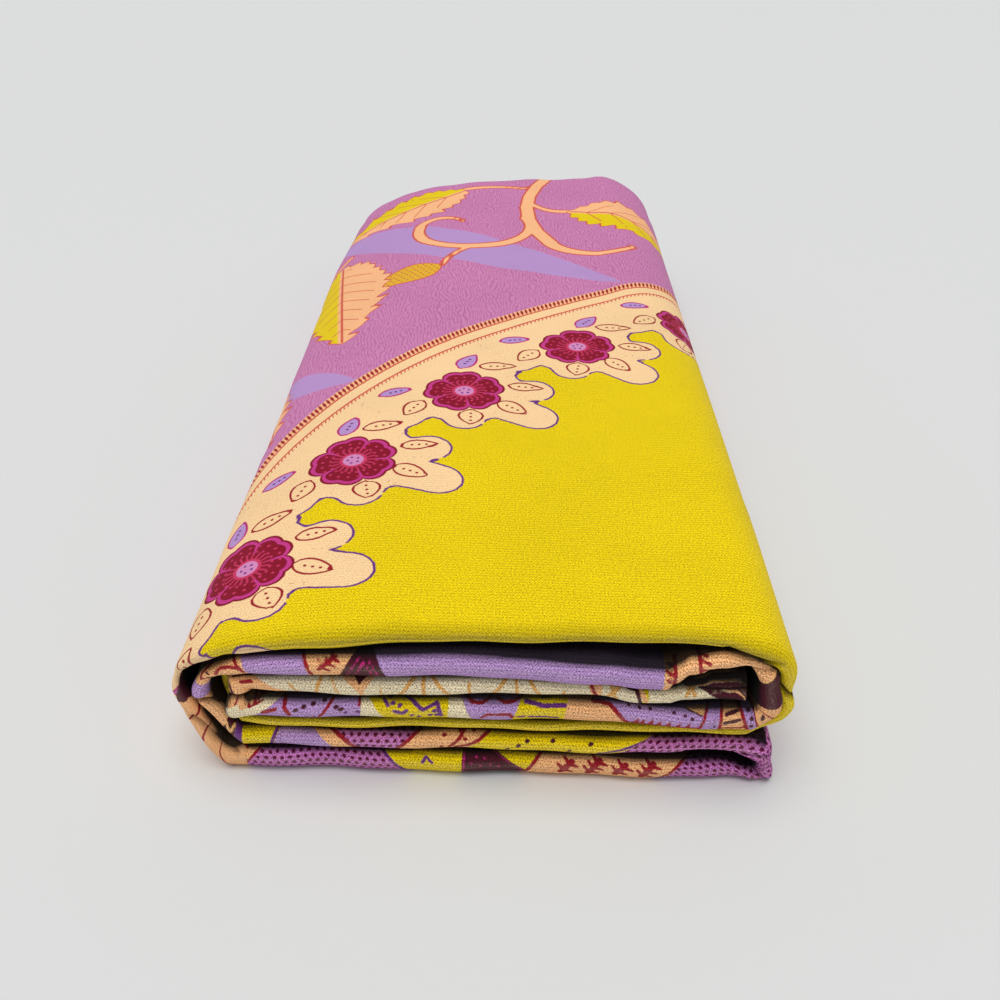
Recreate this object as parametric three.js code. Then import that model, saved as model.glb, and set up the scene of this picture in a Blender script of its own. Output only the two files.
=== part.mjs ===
// A folded packet of printed cotton cloth, lying on a table.
// The cloth is folded into a strip twelve layers thick, and the strip is rolled up flat in seven level runs.
// Every stretch of the strip that shows is one solid, and its layers share that solid.
// Millimetres. X runs along the strip's runs, +Y from the front folds to the far folds, +Z up from the table.
import * as THREE from 'three';

// Driving dimensions
const LENGTH = 405; // front fold to far fold: a third of the cloth's width, and its soft folds
const WIDTH = 175; // over the outermost turns
const HEIGHT = { front: 58, far: 61 }; // table to the top of the packet
const AIR = 0.5; // between neighbouring runs, and between neighbouring side walls
const SEAM = 0.3; // between two stretches that meet end to end
const FOLD_DEPTH = 4.5; // how far the rounded folds at the front and far ends reach along Y
const FOLD_TIP = 0.35; // share of the strip's thickness left at the very tip of a fold
const SHOULDER_START = 60; // from the front to where the shoulders begin to grow rounder

// Level runs, bottom run first, with the thickness of each. They are stacked with AIR between them,
// and the top run fills what is left of the height.
const RUN_THICKNESS = {
  bottom: { front: 9.2, far: 9.2 },
  second: { front: 7.3, far: 7.3 },
  third: { front: 6.2, far: 6.2 },
  fourth: { front: 8.7, far: 8.7 },
  fifth: { front: 7.7, far: 8.7 },
  sixth: { front: 9.5, far: 10.5 },
};

// Upright stretches of the strip at the packet's sides, outermost first, with the thickness of each.
// side is -1 on the left. inset is how far the outermost one stands in from the packet's full width.
const SIDE_WALLS = [
  { side: -1, inset: 0, thickness: { leftOuter: 4.5, leftInner: 4.3, flap: 3.9, vee: 7.3 } },
  { side: 1, inset: 0, thickness: { rightOuter: 4.7, rightInner: 4.9 } },
  { side: 1, inset: 1.5, thickness: { lowTurn: 8 } },
];

// Centres of the elliptical turns, across from the packet's middle and up from the table.
// Nested stretches turn about one centre.
const TURNS = {
  upperLeft: { front: { x: -28, z: 38 }, far: { x: 15, z: 28 } },
  lowerLeft: { front: { x: -75.5, z: 28 }, far: { x: -75.5, z: 25 } },
  veeLower: { front: { x: -61, z: 28 }, far: { x: -61, z: 27.5 } },
  upperRight: { front: { x: 73, z: 43.5 }, far: { x: 47.5, z: 33.4 } },
  lowerRight: { front: { x: 75.3, z: 37 }, far: { x: 75.3, z: 33 } },
  lowTurn: { front: { x: 80, z: 9.5 }, far: { x: 79, z: 9.5 } },
};

// Where one stretch ends and the next begins, and where the strip itself ends
const ENDS = {
  coverToBottom: -71,
  secondToInner: -60,
  thirdToTucked: 70,
  fourthToCore: 66,
  core: 73.5,
  flapTop: { front: 37, far: 28 },
};
const CORE_END_ROUND = { front: { x: 3, z: 3 }, far: { x: 26, z: 6.4 } };
const FLAP_END_ROUND = { front: { x: 2, z: 2 }, far: { x: 2, z: 2 } };

// The stretches. Each starts on a level run, turns at each row of its table and ends on a run or a wall.
// outside names the face of the run that is on the outside of the turn.
const STRETCHES = [
  {
    node: 'cover',
    colour: 0xe6c522,
    start: { run: 'bottom', x: ENDS.coverToBottom },
    turns: [
      { run: 'bottom', wall: 'leftOuter', about: 'lowerLeft', outside: 'low' },
      { run: 'top', wall: 'leftOuter', about: 'upperLeft', outside: 'high' },
      { run: 'top', wall: 'rightOuter', about: 'upperRight', outside: 'high' },
      { run: 'third', wall: 'rightOuter', about: 'lowerRight', outside: 'low' },
    ],
    end: { run: 'third', x: ENDS.thirdToTucked + SEAM },
  },
  {
    node: 'bottom_wrap',
    colour: 0xb0699f,
    start: { run: 'bottom', x: ENDS.coverToBottom + SEAM },
    turns: [
      { run: 'bottom', wall: 'lowTurn', about: 'lowTurn', outside: 'low' },
      { run: 'second', wall: 'lowTurn', about: 'lowTurn', outside: 'high' },
    ],
    end: { run: 'second', x: ENDS.secondToInner + SEAM },
  },
  {
    node: 'inner_wrap',
    colour: 0xbb94ce,
    start: { run: 'second', x: ENDS.secondToInner },
    turns: [
      { run: 'second', wall: 'leftInner', about: 'lowerLeft', outside: 'low' },
      { run: 'sixth', wall: 'leftInner', about: 'upperLeft', outside: 'high' },
      { run: 'sixth', wall: 'rightInner', about: 'upperRight', outside: 'high' },
      { run: 'fourth', wall: 'rightInner', about: 'lowerRight', outside: 'low' },
    ],
    end: { run: 'fourth', x: ENDS.fourthToCore + SEAM },
  },
  {
    node: 'core_fold',
    colour: 0xe3d7c6,
    start: { run: 'fourth', x: ENDS.fourthToCore },
    turns: [
      { run: 'fourth', wall: 'vee', about: 'veeLower', outside: 'low' },
      { run: 'fifth', wall: 'vee', about: 'upperLeft', outside: 'high' },
    ],
    end: { run: 'fifth', x: ENDS.core, round: CORE_END_ROUND },
  },
  {
    node: 'tucked_end',
    colour: 0xa38a26,
    start: { run: 'third', x: ENDS.thirdToTucked },
    turns: [{ run: 'third', wall: 'flap', about: 'lowerLeft', outside: 'low' }],
    end: { wall: 'flap', z: ENDS.flapTop, round: FLAP_END_ROUND },
  },
];

// Resolution
const TURN_STEPS = 10; // straight pieces in each quarter turn
const FOLD_STEPS = 3; // rings in each rounded fold
const BODY_STEPS = 4; // lengths between the front and the far folds
const SMALLEST_TURN = 0.2;

function between(frontValue, farValue, share) {
  return frontValue + (farValue - frontValue) * share;
}

// Lower and upper face of each run, at a share of the way from its front shape to its far shape
function stackRuns(share) {
  const faces = {};
  let level = 0;
  for (const [run, thickness] of Object.entries(RUN_THICKNESS)) {
    const upper = level + between(thickness.front, thickness.far, share);
    faces[run] = { low: level, high: upper };
    level = upper + AIR;
  }
  faces.top = { low: level, high: between(HEIGHT.front, HEIGHT.far, share) };
  return faces;
}

// Outer and inner face of each side wall, as distances from the packet's middle
function stackWalls() {
  const faces = {};
  for (const { side, inset, thickness } of SIDE_WALLS) {
    let distance = WIDTH / 2 - inset;
    for (const [wall, wallThickness] of Object.entries(thickness)) {
      faces[wall] = { side, outer: side * distance, inner: side * (distance - wallThickness) };
      distance -= wallThickness + AIR;
    }
  }
  return faces;
}

const WALLS = stackWalls();

function placeBetween(place, share) {
  return { x: between(place.front.x, place.far.x, share), z: between(place.front.z, place.far.z, share) };
}

// The corner that one side of a stretch turns, with the half axes of its quarter ellipse
function cornerOf(turn, side, share) {
  const centre = placeBetween(TURNS[turn.about], share);
  const inside = turn.outside === 'low' ? 'high' : 'low';
  const wall = WALLS[turn.wall];
  const x = wall[side];
  const z = stackRuns(share)[turn.run][side === 'outer' ? turn.outside : inside];
  const toWall = wall.side;
  const toRun = turn.outside === 'low' ? -1 : 1;
  return {
    x,
    z,
    toWall,
    toRun,
    radiusX: Math.max(SMALLEST_TURN, (x - centre.x) * toWall),
    radiusZ: Math.max(SMALLEST_TURN, (z - centre.z) * toRun),
  };
}

// Two turns at the ends of one wall share its height.
function shareWalls(corners) {
  for (let i = 0; i + 1 < corners.length; i += 1) {
    const [a, b] = [corners[i], corners[i + 1]];
    const height = Math.abs(a.z - b.z);
    const wanted = a.radiusZ + b.radiusZ;
    if (a.x === b.x && wanted > height) {
      a.radiusZ *= height / wanted;
      b.radiusZ *= height / wanted;
    }
  }
}

// Points of a quarter ellipse that cuts off a corner. It starts on the run, or on the wall.
function quarterTurn(corner, startsOnRun) {
  const centreX = corner.x - corner.toWall * corner.radiusX;
  const centreZ = corner.z - corner.toRun * corner.radiusZ;
  const points = [];
  for (let i = 0; i <= TURN_STEPS; i += 1) {
    const angle = ((startsOnRun ? i : TURN_STEPS - i) / TURN_STEPS) * (Math.PI / 2);
    points.push(
      new THREE.Vector2(
        centreX + corner.toWall * corner.radiusX * Math.sin(angle),
        centreZ + corner.toRun * corner.radiusZ * Math.cos(angle),
      ),
    );
  }
  return points;
}

// The free end of the strip: its outer side is rounded off, and its inner side runs straight.
function freeEnd(stretch, side, share, lastCorner) {
  const round = placeBetween(stretch.end.round, share);
  const points = [];
  for (let i = 0; i <= TURN_STEPS; i += 1) {
    const angle = (i / TURN_STEPS) * (Math.PI / 2);
    const along = Math.sin(angle);
    const dip = side === 'outer' ? 1 - Math.cos(angle) : 0;
    if (stretch.end.run) {
      const x = stretch.end.x - round.x * (1 - along);
      points.push(new THREE.Vector2(x, lastCorner.z - lastCorner.toRun * round.z * dip));
    } else {
      const top = between(stretch.end.z.front, stretch.end.z.far, share);
      const z = top - round.z * (1 - along);
      points.push(new THREE.Vector2(lastCorner.x - lastCorner.toWall * round.x * dip, z));
    }
  }
  return points;
}

// One side of a stretch in the XZ plane, at a share of the way from its front shape to its far shape
function sidePoints(stretch, side, share) {
  const corners = stretch.turns.map((turn) => cornerOf(turn, side, share));
  shareWalls(corners);
  const points = [new THREE.Vector2(stretch.start.x, corners[0].z)];
  corners.forEach((corner, i) => points.push(...quarterTurn(corner, i % 2 === 0)));
  const last = corners[corners.length - 1];
  if (stretch.end.round) {
    points.push(...freeEnd(stretch, side, share, last));
  } else {
    points.push(new THREE.Vector2(stretch.end.x, last.z));
  }
  return points;
}

// Rings along Y: distance from the front tip, share of the full thickness, and share of the change of shape.
// A fold's rings follow a quarter ellipse from its blunt tip to the full thickness.
function makeStations() {
  const tipAngle = Math.asin(FOLD_TIP);
  const fold = [];
  for (let i = 0; i < FOLD_STEPS; i += 1) {
    const angle = between(tipAngle, Math.PI / 2, i / FOLD_STEPS);
    const depth = FOLD_DEPTH * (1 - Math.cos(angle) / Math.cos(tipAngle));
    fold.push({ depth, thickness: Math.sin(angle) });
  }
  const rings = fold.map(({ depth, thickness }) => ({ along: depth, thickness }));
  rings.push({ along: FOLD_DEPTH, thickness: 1 });
  for (let i = 0; i <= BODY_STEPS; i += 1) {
    const along = between(SHOULDER_START, LENGTH - FOLD_DEPTH, i / BODY_STEPS);
    rings.push({ along, thickness: 1 });
  }
  [...fold].reverse().forEach(({ depth, thickness }) => rings.push({ along: LENGTH - depth, thickness }));
  return rings.map((ring) => ({
    ...ring,
    share: Math.max(0, (ring.along - SHOULDER_START) / (LENGTH - SHOULDER_START)),
  }));
}

const STATIONS = makeStations();

// One side of a stretch moved towards its middle line, until the strip keeps only this share of its thickness
function drawnIn(points, opposite, thickness) {
  return points.map((point, i) => opposite[i].clone().add(point).multiplyScalar(0.5).lerp(point, thickness));
}

// A stretch as one closed body: a ring of points at each station, joined into walls and closed at both folds.
function stretchGeometry(stretch) {
  const positions = [];
  let sideCount = 0;
  for (const { along, thickness, share } of STATIONS) {
    const outer = sidePoints(stretch, 'outer', share);
    const inner = sidePoints(stretch, 'inner', share);
    sideCount = outer.length;
    const ring = [...drawnIn(outer, inner, thickness), ...drawnIn(inner, outer, thickness).reverse()];
    for (const point of ring) {
      positions.push(point.x, along - LENGTH / 2, point.y);
    }
  }
  const ringCount = sideCount * 2;
  const lastRing = (STATIONS.length - 1) * ringCount;
  const indices = [];
  const quad = (a, b, c, d) => indices.push(a, b, c, a, c, d);
  for (let s = 0; s < lastRing; s += ringCount) {
    for (let i = 0; i < ringCount; i += 1) {
      const next = (i + 1) % ringCount;
      quad(s + i, s + next, s + ringCount + next, s + ringCount + i);
    }
  }
  for (let i = 0; i + 1 < sideCount; i += 1) {
    const opposite = ringCount - 1 - i;
    quad(i, opposite, opposite - 1, i + 1);
    quad(lastRing + i, lastRing + i + 1, lastRing + opposite - 1, lastRing + opposite);
  }
  const geometry = new THREE.BufferGeometry();
  geometry.setAttribute('position', new THREE.Float32BufferAttribute(positions, 3));
  geometry.setIndex(facingOut(positions, indices));
  geometry.computeVertexNormals();
  return geometry;
}

// The triangles in the order that makes the enclosed volume positive
function facingOut(positions, indices) {
  const corner = (i) => new THREE.Vector3().fromArray(positions, 3 * i);
  let volume = 0;
  for (let i = 0; i < indices.length; i += 3) {
    const [a, b, c] = [corner(indices[i]), corner(indices[i + 1]), corner(indices[i + 2])];
    volume += a.dot(b.cross(c)) / 6;
  }
  return volume > 0 ? indices : [...indices].reverse();
}

const packet = new THREE.Group();
for (const stretch of STRETCHES) {
  const material = new THREE.MeshStandardMaterial({ color: stretch.colour, roughness: 0.85, metalness: 0 });
  const mesh = new THREE.Mesh(stretchGeometry(stretch), material);
  mesh.name = stretch.node;
  packet.add(mesh);
}

export default packet;
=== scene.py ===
# A folded packet of wax print cotton on a pale studio floor.
# The cloth is a strip twelve layers thick, rolled up flat. Its runs are numbered from the table up, and
# each stretch of the strip is one closed mesh that stands for the CAD solid of the same name.
# Lengths in the tables are in millimetres; Blender's own units are metres.
import math

import bpy
import numpy as np
from mathutils import Matrix, Vector


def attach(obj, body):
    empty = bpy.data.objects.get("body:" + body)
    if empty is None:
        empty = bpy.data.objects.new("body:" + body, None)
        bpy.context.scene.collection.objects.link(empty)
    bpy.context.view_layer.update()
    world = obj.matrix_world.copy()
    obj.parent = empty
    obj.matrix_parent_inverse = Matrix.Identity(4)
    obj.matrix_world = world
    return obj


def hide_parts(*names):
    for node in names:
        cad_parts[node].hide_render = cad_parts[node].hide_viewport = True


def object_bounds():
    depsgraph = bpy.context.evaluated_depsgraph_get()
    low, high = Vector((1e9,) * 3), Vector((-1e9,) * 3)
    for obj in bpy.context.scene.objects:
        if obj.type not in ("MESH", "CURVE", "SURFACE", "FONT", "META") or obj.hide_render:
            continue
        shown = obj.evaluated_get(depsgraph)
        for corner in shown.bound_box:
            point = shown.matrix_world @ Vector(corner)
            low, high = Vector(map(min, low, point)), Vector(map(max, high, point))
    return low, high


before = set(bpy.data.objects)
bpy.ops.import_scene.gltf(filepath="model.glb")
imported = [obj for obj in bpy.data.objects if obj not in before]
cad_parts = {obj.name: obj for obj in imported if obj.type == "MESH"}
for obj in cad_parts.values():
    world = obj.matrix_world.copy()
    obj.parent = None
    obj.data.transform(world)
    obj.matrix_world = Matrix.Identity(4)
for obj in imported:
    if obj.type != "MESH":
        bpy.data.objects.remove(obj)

MM = 0.001
CAD_LOW, CAD_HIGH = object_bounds()

# ---------------------------------------------------------------- driving sizes, from the frame
WIDTH = round((CAD_HIGH.x - CAD_LOW.x) / MM, 3)
LENGTH = round((CAD_HIGH.y - CAD_LOW.y) / MM, 3)
HEIGHT_FAR = round(CAD_HIGH.z / MM, 3)
HEIGHT_FRONT = HEIGHT_FAR - 3
AIR = 0.5  # between neighbouring runs and walls
SEAM = 0.06  # between two stretches that meet end to end
SHOULDER_START = 60  # from the front to where the shoulders begin to grow rounder

# Runs from the table up, and their thickness at the front and the far end
RUN_THICKNESS = {
    "bottom": (9.2, 9.2),
    "second": (7.3, 7.3),
    "third": (6.2, 6.2),
    "fourth": (8.7, 8.7),
    "fifth": (7.7, 8.7),
    "sixth": (9.5, 10.5),
}
# Upright stretches at the sides: side, inset of the outermost one, then thickness from the outside in
SIDE_WALLS = [
    (-1, 0, {"leftOuter": 4.5, "leftInner": 4.3, "flap": 3.9, "vee": 7.3}),
    (1, 0, {"rightOuter": 4.7, "rightInner": 4.9}),
    (1, 1.5, {"lowTurn": 8}),
]
# Centres of the elliptical turns, (x, z) at the front and at the far end
TURN_CENTRES = {
    "upperLeft": ((-28, 38), (20, 24)),
    "lowerLeft": ((-77.5, 21), (-72, 26)),
    "lowerLeftInner": ((-71, 29), (-70, 26)),
    "veeLower": ((-70, 27), (-61, 27.5)),
    "upperRight": ((73, 43.5), (53, 34)),
    "lowerRight": ((77, 31.5), (75, 32)),
    "lowTurnBottom": ((84.3, 1.8), (83, 4)),
    "lowTurnTop": ((82.5, 13), (81, 12)),
}
# Lower and upper face of each run at its front fold, at places across the packet
FRONT_FACES = {
    "top": {-45: (51.2, 58), -1: (53.9, 58), 33: (54.7, 58), 67: (54.9, 57.6)},
    "sixth": {
        -45: (41.4, 50.4), -1: (41.7, 51.6), 33: (40.5, 50.5), 44: (38.5, 49), 51: (38.6, 48.5),
        53: (41.5, 49.5), 57: (45, 51.5), 66: (47.2, 52.8), 73: (48, 50.8), 80: (46.6, 50),
    },
    "fifth": {
        -45: (31.8, 40.5), -1: (34.1, 41.2), 33: (34.5, 40), 44: (32.4, 38.2), 51: (32.3, 38.4),
        57: (33.2, 44.4), 67: (34, 46),
    },
    "fourth": {-45: (23.5, 31.3), -1: (24.7, 33.6), 33: (24.8, 34), 50: (24.2, 31.8), 67: (22.6, 33.2)},
    "third": {-45: (17.2, 23), -1: (18.4, 24.2), 33: (18.5, 24.3), 50: (18.4, 23.4), 67: (18.6, 22.1)},
    "second": {
        -45: (9.9, 16.8), -1: (10.8, 17.6), 33: (11, 17.6), 50: (11.3, 17.4), 64: (13.2, 18.2),
        76: (12.6, 18.4),
    },
    "bottom": {-45: (0, 9.5), -1: (0, 10.1), 33: (0, 10.1), 50: (0, 9.2), 64: (0, 8.2), 76: (0, 7.6)},
}
FRONT_FACES_FADE = 45  # how far along Y those differences last
# How far each run's front fold stands out past a plain rounded fold
FRONT_REACH = {
    "bottom": -0.8, "second": -0.4, "third": -1.2, "fourth": 0.6, "fifth": 0, "sixth": 1.5, "top": 0.6,
}
# Grooves in the front folds: stretch, half width, depth, and the points (x, z) they run through
GROOVES = [
    ("core_fold", 0.8, 2.8, (52, 39.6), (60, 39.8), (73, 40.4)),
    ("core_fold", 0.9, 4, (-74.5, 30.6), (-70, 31.6), (-61, 32.8)),
    ("inner_wrap", 1.5, 3.4, (6, 52.6), (26, 51.6), (44, 49.8), (50, 49.6)),
    ("inner_wrap", 0.7, 1.2, (62, 47.6), (80, 48)),
    ("inner_wrap", 0.8, 3, (-88, 27.4), (-81, 28), (-75.5, 25)),
    ("bottom_wrap", 1, 3, (-71, 9.6), (-45, 9.8), (-22, 10.2)),
    ("bottom_wrap", 0.6, 1, (60, 14), (88, 13)),
    ("bottom_wrap", 0.6, 2, (77.5, 6), (83, 3.4), (88, 0)),
    ("cover", 0.8, 3.4, (82.5, 41), (86, 36.5), (92, 32)),
    ("cover", 0.7, 1.6, (66, 55), (75, 52.6), (81, 50.5)),
    ("cover", 0.7, 2, (-85, 21), (-80, 13.5), (-74, 7)),
]
# How much higher the far end lies than the plain stack, as a share of the height, at places across
FAR_WAVE = {
    -90: 0, -67: -0.01, -49: -0.014, -28: -0.03, 0: -0.038, 22: -0.024, 45: 0, 56: 0.024, 75: -0.002,
    90: -0.02,
}
# How far the left side bulges out, at distances from the front
LEFT_BULGE = {0: 0, 100: 0.2, 140: 1.2, 190: 2.3, 250: 3, 310: 3.3, 370: 1.5, 405: 0}
# Local dents and bulges at the front: stretch, side, where (x, z), how far (x, z), radius, fade along Y
DENTS = [
    ("cover", "both", -87, 31, -2.8, 0, 6.5, 15),
    ("cover", "inner", -84, 34, -3.4, 0, 7, 14),
    ("cover", "inner", -78, 15, 1.6, 0.6, 7, 14),
    ("cover", "both", 87.5, 30.5, 1.9, 0, 5, 15),
    ("cover", "both", 84, 25.5, 1.8, -1.2, 5, 14),
    ("cover", "inner", 77, 54, -0.6, -4.6, 7.5, 14),
    ("cover", "inner", 85, 33, 1.6, 0, 7, 14),
    ("inner_wrap", "outer", -80, 44, 3, -2.2, 9, 12),
    ("inner_wrap", "inner", -78, 41, 1, -1.2, 7, 12),
    ("inner_wrap", "both", -82, 31, -2.4, 0, 6, 12),
    ("inner_wrap", "outer", 81.5, 33, 3.2, -0.6, 7, 12),
    ("core_fold", "both", -73, 25, -1.6, -0.6, 5, 10),
    ("core_fold", "outer", -73, 23.6, -1.6, -2, 3.6, 10),
    ("core_fold", "both", -77, 21, -2, -1, 2.8, 8),
    ("tucked_end", "inner", -73.8, 24, -2, -0.5, 5, 10),
    ("bottom_wrap", "inner", 78.5, 9.3, 4, -4.4, 3.5, 7),
    ("bottom_wrap", "outer", 86, 2.5, 2.2, -0.4, 5, 10),
]
# Where a front fold lies further back than the rest: stretch, where (x, z), radius, how far
SET_BACK = [
    ("tucked_end", -76.5, 32, 9, 5.5),
    ("core_fold", -68, 38, 6, 1.4),
    ("bottom_wrap", 74, 6, 7, 1.5),
]
WALL_FROM = 60  # further out than this an upright part of the cover is a side wall
# Soft folds all over the cover: face, from, to, half width, how far out. Places are (x, y) on its top and
# (y, z) on its sides
CREASES = [
    ("top", (-52, -188), (-30, -60), 8, -0.5),
    ("top", (-66, -60), (-38, 90), 10, 0.6),
    ("top", (30, -196), (64, -120), 9, -0.45),
    ("top", (66, -110), (58, 60), 8, 0.5),
    ("top", (-10, 40), (36, 190), 12, -0.7),
    ("top", (-40, 120), (-22, 196), 8, 0.6),
    ("right", (-186, 24), (-60, 38), 6, 0.8),
    ("right", (-120, 44), (20, 36), 6, -0.7),
    ("right", (10, 26), (170, 40), 7, 0.9),
    ("left", (-180, 34), (-70, 22), 6, 0.7),
    ("left", (-80, 40), (60, 30), 6, -0.8),
    ("left", (40, 24), (180, 36), 7, 0.8),
]
# Each stretch: where it starts, its turns (run, wall, centre, face on the outside), and where it ends
STRETCHES = {
    "cover": (
        -71,
        [
            ("bottom", "leftOuter", "lowerLeft", "low"),
            ("top", "leftOuter", "upperLeft", "high"),
            ("top", "rightOuter", "upperRight", "high"),
            ("third", "rightOuter", "lowerRight", "low"),
        ],
        ("x", 70 + SEAM, 70 + SEAM, None),
    ),
    "bottom_wrap": (
        -71 + SEAM,
        [("bottom", "lowTurn", "lowTurnBottom", "low"), ("second", "lowTurn", "lowTurnTop", "high")],
        ("x", -60 + SEAM, -60 + SEAM, None),
    ),
    "inner_wrap": (
        -60,
        [
            ("second", "leftInner", "lowerLeftInner", "low"),
            ("sixth", "leftInner", "upperLeft", "high"),
            ("sixth", "rightInner", "upperRight", "high"),
            ("fourth", "rightInner", "lowerRight", "low"),
        ],
        ("x", 66 + SEAM, 66 + SEAM, None),
    ),
    "core_fold": (
        66,
        [("fourth", "vee", "veeLower", "low"), ("fifth", "vee", "upperLeft", "high")],
        ("x", 73.5, 73.5, ((3, 3), (26, 6.4))),
    ),
    "tucked_end": (
        70,
        [("third", "flap", "lowerLeftInner", "low")],
        ("z", 37, 28, ((2, 2), (2, 2))),
    ),
}

NOSE_DEPTH = 4.5  # from a fold's tip to its root, where the cloth is at its full thickness
NOSE_ROUNDNESS = 0.62  # a fold's depth as a share of its thickness
# Finish of a mesh: step along its path, rings in a nose, and distances of the other rings from the front
FRONT_HALF = [NOSE_DEPTH, 5.1, 5.9, 7, 8.6, 11, 15, 22, 33, 50, 75, 120, LENGTH / 2]
FINE_FINISH = (0.6, 16, FRONT_HALF + [LENGTH - a for a in reversed(FRONT_HALF[:-1])])
COVER_FINISH = (1.6, 10, list(np.arange(NOSE_DEPTH, LENGTH - NOSE_DEPTH + 0.01, 2)))
FEWEST_TURN_STEPS = 6
FREE_END_STEPS = 6
SHORTEST_STRAIGHT = 0.4
SMALLEST_TURN = 0.2
TURN_POWER = (1, 1.02)  # 1 is an ellipse, and more cuts the corner straighter, at the front and the far end
LOW_TURN_POWER = (1.55, 1.1)  # the same for the turns low down at the sides
# How far in from a fold's tip the painted shade between the layers begins, on its upper side
PAINTED_SHADE_START = {
    "bottom": 2.8, "second": 2.5, "third": 0.2, "fourth": 2.5, "fifth": 2.4, "sixth": 2.4, "top": 2.5,
}
LOW_PAINTED_SHADE_START = 3.6  # the same on its lower side
COVER_PAINTED_SHADE_START = (3, 0.8)  # the same on the cover's inner side, round the sides and under its top
# Depth between the layers, for the painted shade, is kept no greater than this
DEEPEST_PAINTED_SHADE = 8
# Grooves near a fold's tip get painted shade too, this far back from the tip
GROOVE_SHADE_REACH = 6  # how far back from the fold's tip a groove is dark
WHOLLY = 0.999  # a point that follows its run more than this lies on the run's flat part
STILL_X = 36  # where the print lies straight along the packet
LAYERS = 12  # of cloth in the strip
LAYER_RIDGE = 0.5  # how far each layer's edge stands out at a free end


def between(a, b, share):
    return a + (b - a) * share


def pair_between(pairs, share):
    """Both numbers of a pair, at a share of the way from its front values to its far values."""
    (front_a, front_b), (far_a, far_b) = pairs
    return between(front_a, far_a, share), between(front_b, far_b, share)


def stack_runs(share):
    """Lower and upper face of each run, at a share of the way from the front shape to the far shape."""
    faces, level = {}, 0.0
    for run, (front, far) in RUN_THICKNESS.items():
        upper = level + between(front, far, share)
        faces[run] = (level, upper)
        level = upper + AIR
    faces["top"] = (level, between(HEIGHT_FRONT, HEIGHT_FAR, share))
    return faces


def stack_walls():
    """Side, outer and inner face of each upright stretch."""
    faces = {}
    for side, inset, thickness in SIDE_WALLS:
        distance = WIDTH / 2 - inset
        for wall, wall_thickness in thickness.items():
            faces[wall] = (side, side * distance, side * (distance - wall_thickness))
            distance -= wall_thickness + AIR
    return faces


WALLS = stack_walls()


def corners_of(turns, side, share):
    """The corner each turn goes round on one side of the stretch, with its ellipse's half axes."""
    runs = stack_runs(share)
    corners = []
    for run, wall, about, outside in turns:
        centre_x, centre_z = pair_between(TURN_CENTRES[about], share)
        to_wall, outer_x, inner_x = WALLS[wall]
        low, high = runs[run]
        x = outer_x if side == "outer" else inner_x
        z = low if (side == "outer") == (outside == "low") else high
        to_run = -1 if outside == "low" else 1
        radius_x = max(SMALLEST_TURN, (x - centre_x) * to_wall)
        radius_z = max(SMALLEST_TURN, (z - centre_z) * to_run)
        powers = LOW_TURN_POWER if about.startswith("lower") else TURN_POWER
        corners.append([x, z, to_wall, to_run, radius_x, radius_z, between(*powers, share)])
    for a, b in zip(corners, corners[1:]):
        height, wanted = abs(a[1] - b[1]), a[5] + b[5]
        if a[0] == b[0] and wanted > height:
            a[5] *= height / wanted
            b[5] *= height / wanted
    return corners


def quarter_turn(corner, starts_on_run, steps):
    """Points round a corner, from its run to its wall or the other way."""
    x, z, to_wall, to_run, radius_x, radius_z, power = corner
    angle = np.linspace(0, np.pi / 2, steps + 1)
    if not starts_on_run:
        angle = angle[::-1]
    across = x - to_wall * radius_x + to_wall * radius_x * np.sin(angle) ** power
    up = z - to_run * radius_z + to_run * radius_z * np.abs(np.cos(angle)) ** power
    return np.stack([across, up], 1)


def straight(start, end, steps):
    """The points between two others."""
    share = np.linspace(0, 1, steps + 1)[1:-1, None]
    return start * (1 - share) + end * share


def free_end(end, side, share, corner, steps):
    """The strip's own end: its outer side is rounded off, and its inner side runs straight."""
    axis, front, far, rounding = end
    round_x, round_z = pair_between(rounding, share)
    angle = np.linspace(0, np.pi / 2, steps + 1)
    dip = (1 - np.cos(angle)) if side == "outer" else np.zeros(steps + 1)
    tip = between(front, far, share)
    if axis == "x":
        x = tip - round_x * (1 - np.sin(angle))
        points = np.stack([x, corner[1] - corner[3] * round_z * dip], 1)
    else:
        z = tip - round_z * (1 - np.sin(angle))
        points = np.stack([corner[0] - corner[2] * round_x * dip, z], 1)
    return points


def side_points(stretch, side, share, counts):
    """One side of a stretch in the XZ plane. counts holds the steps in each straight and each turn."""
    start_x, turns, end = stretch
    corners = corners_of(turns, side, share)
    parts = [np.array([[start_x, corners[0][1]]])]
    for i, corner in enumerate(corners):
        turn = quarter_turn(corner, i % 2 == 0, counts["turns"][i])
        parts.append(straight(parts[-1][-1], turn[0], counts["straights"][i]))
        parts.append(turn if counts["straights"][i] > 0 else turn[1:])
    if end[3]:
        tail = free_end(end, side, share, corners[-1], counts["tail"])
    else:
        tail = np.array([[between(end[1], end[2], share), corners[-1][1]]])
    parts.append(straight(parts[-1][-1], tail[0], counts["straights"][-1]))
    parts.append(tail)
    return np.concatenate(parts)


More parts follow.
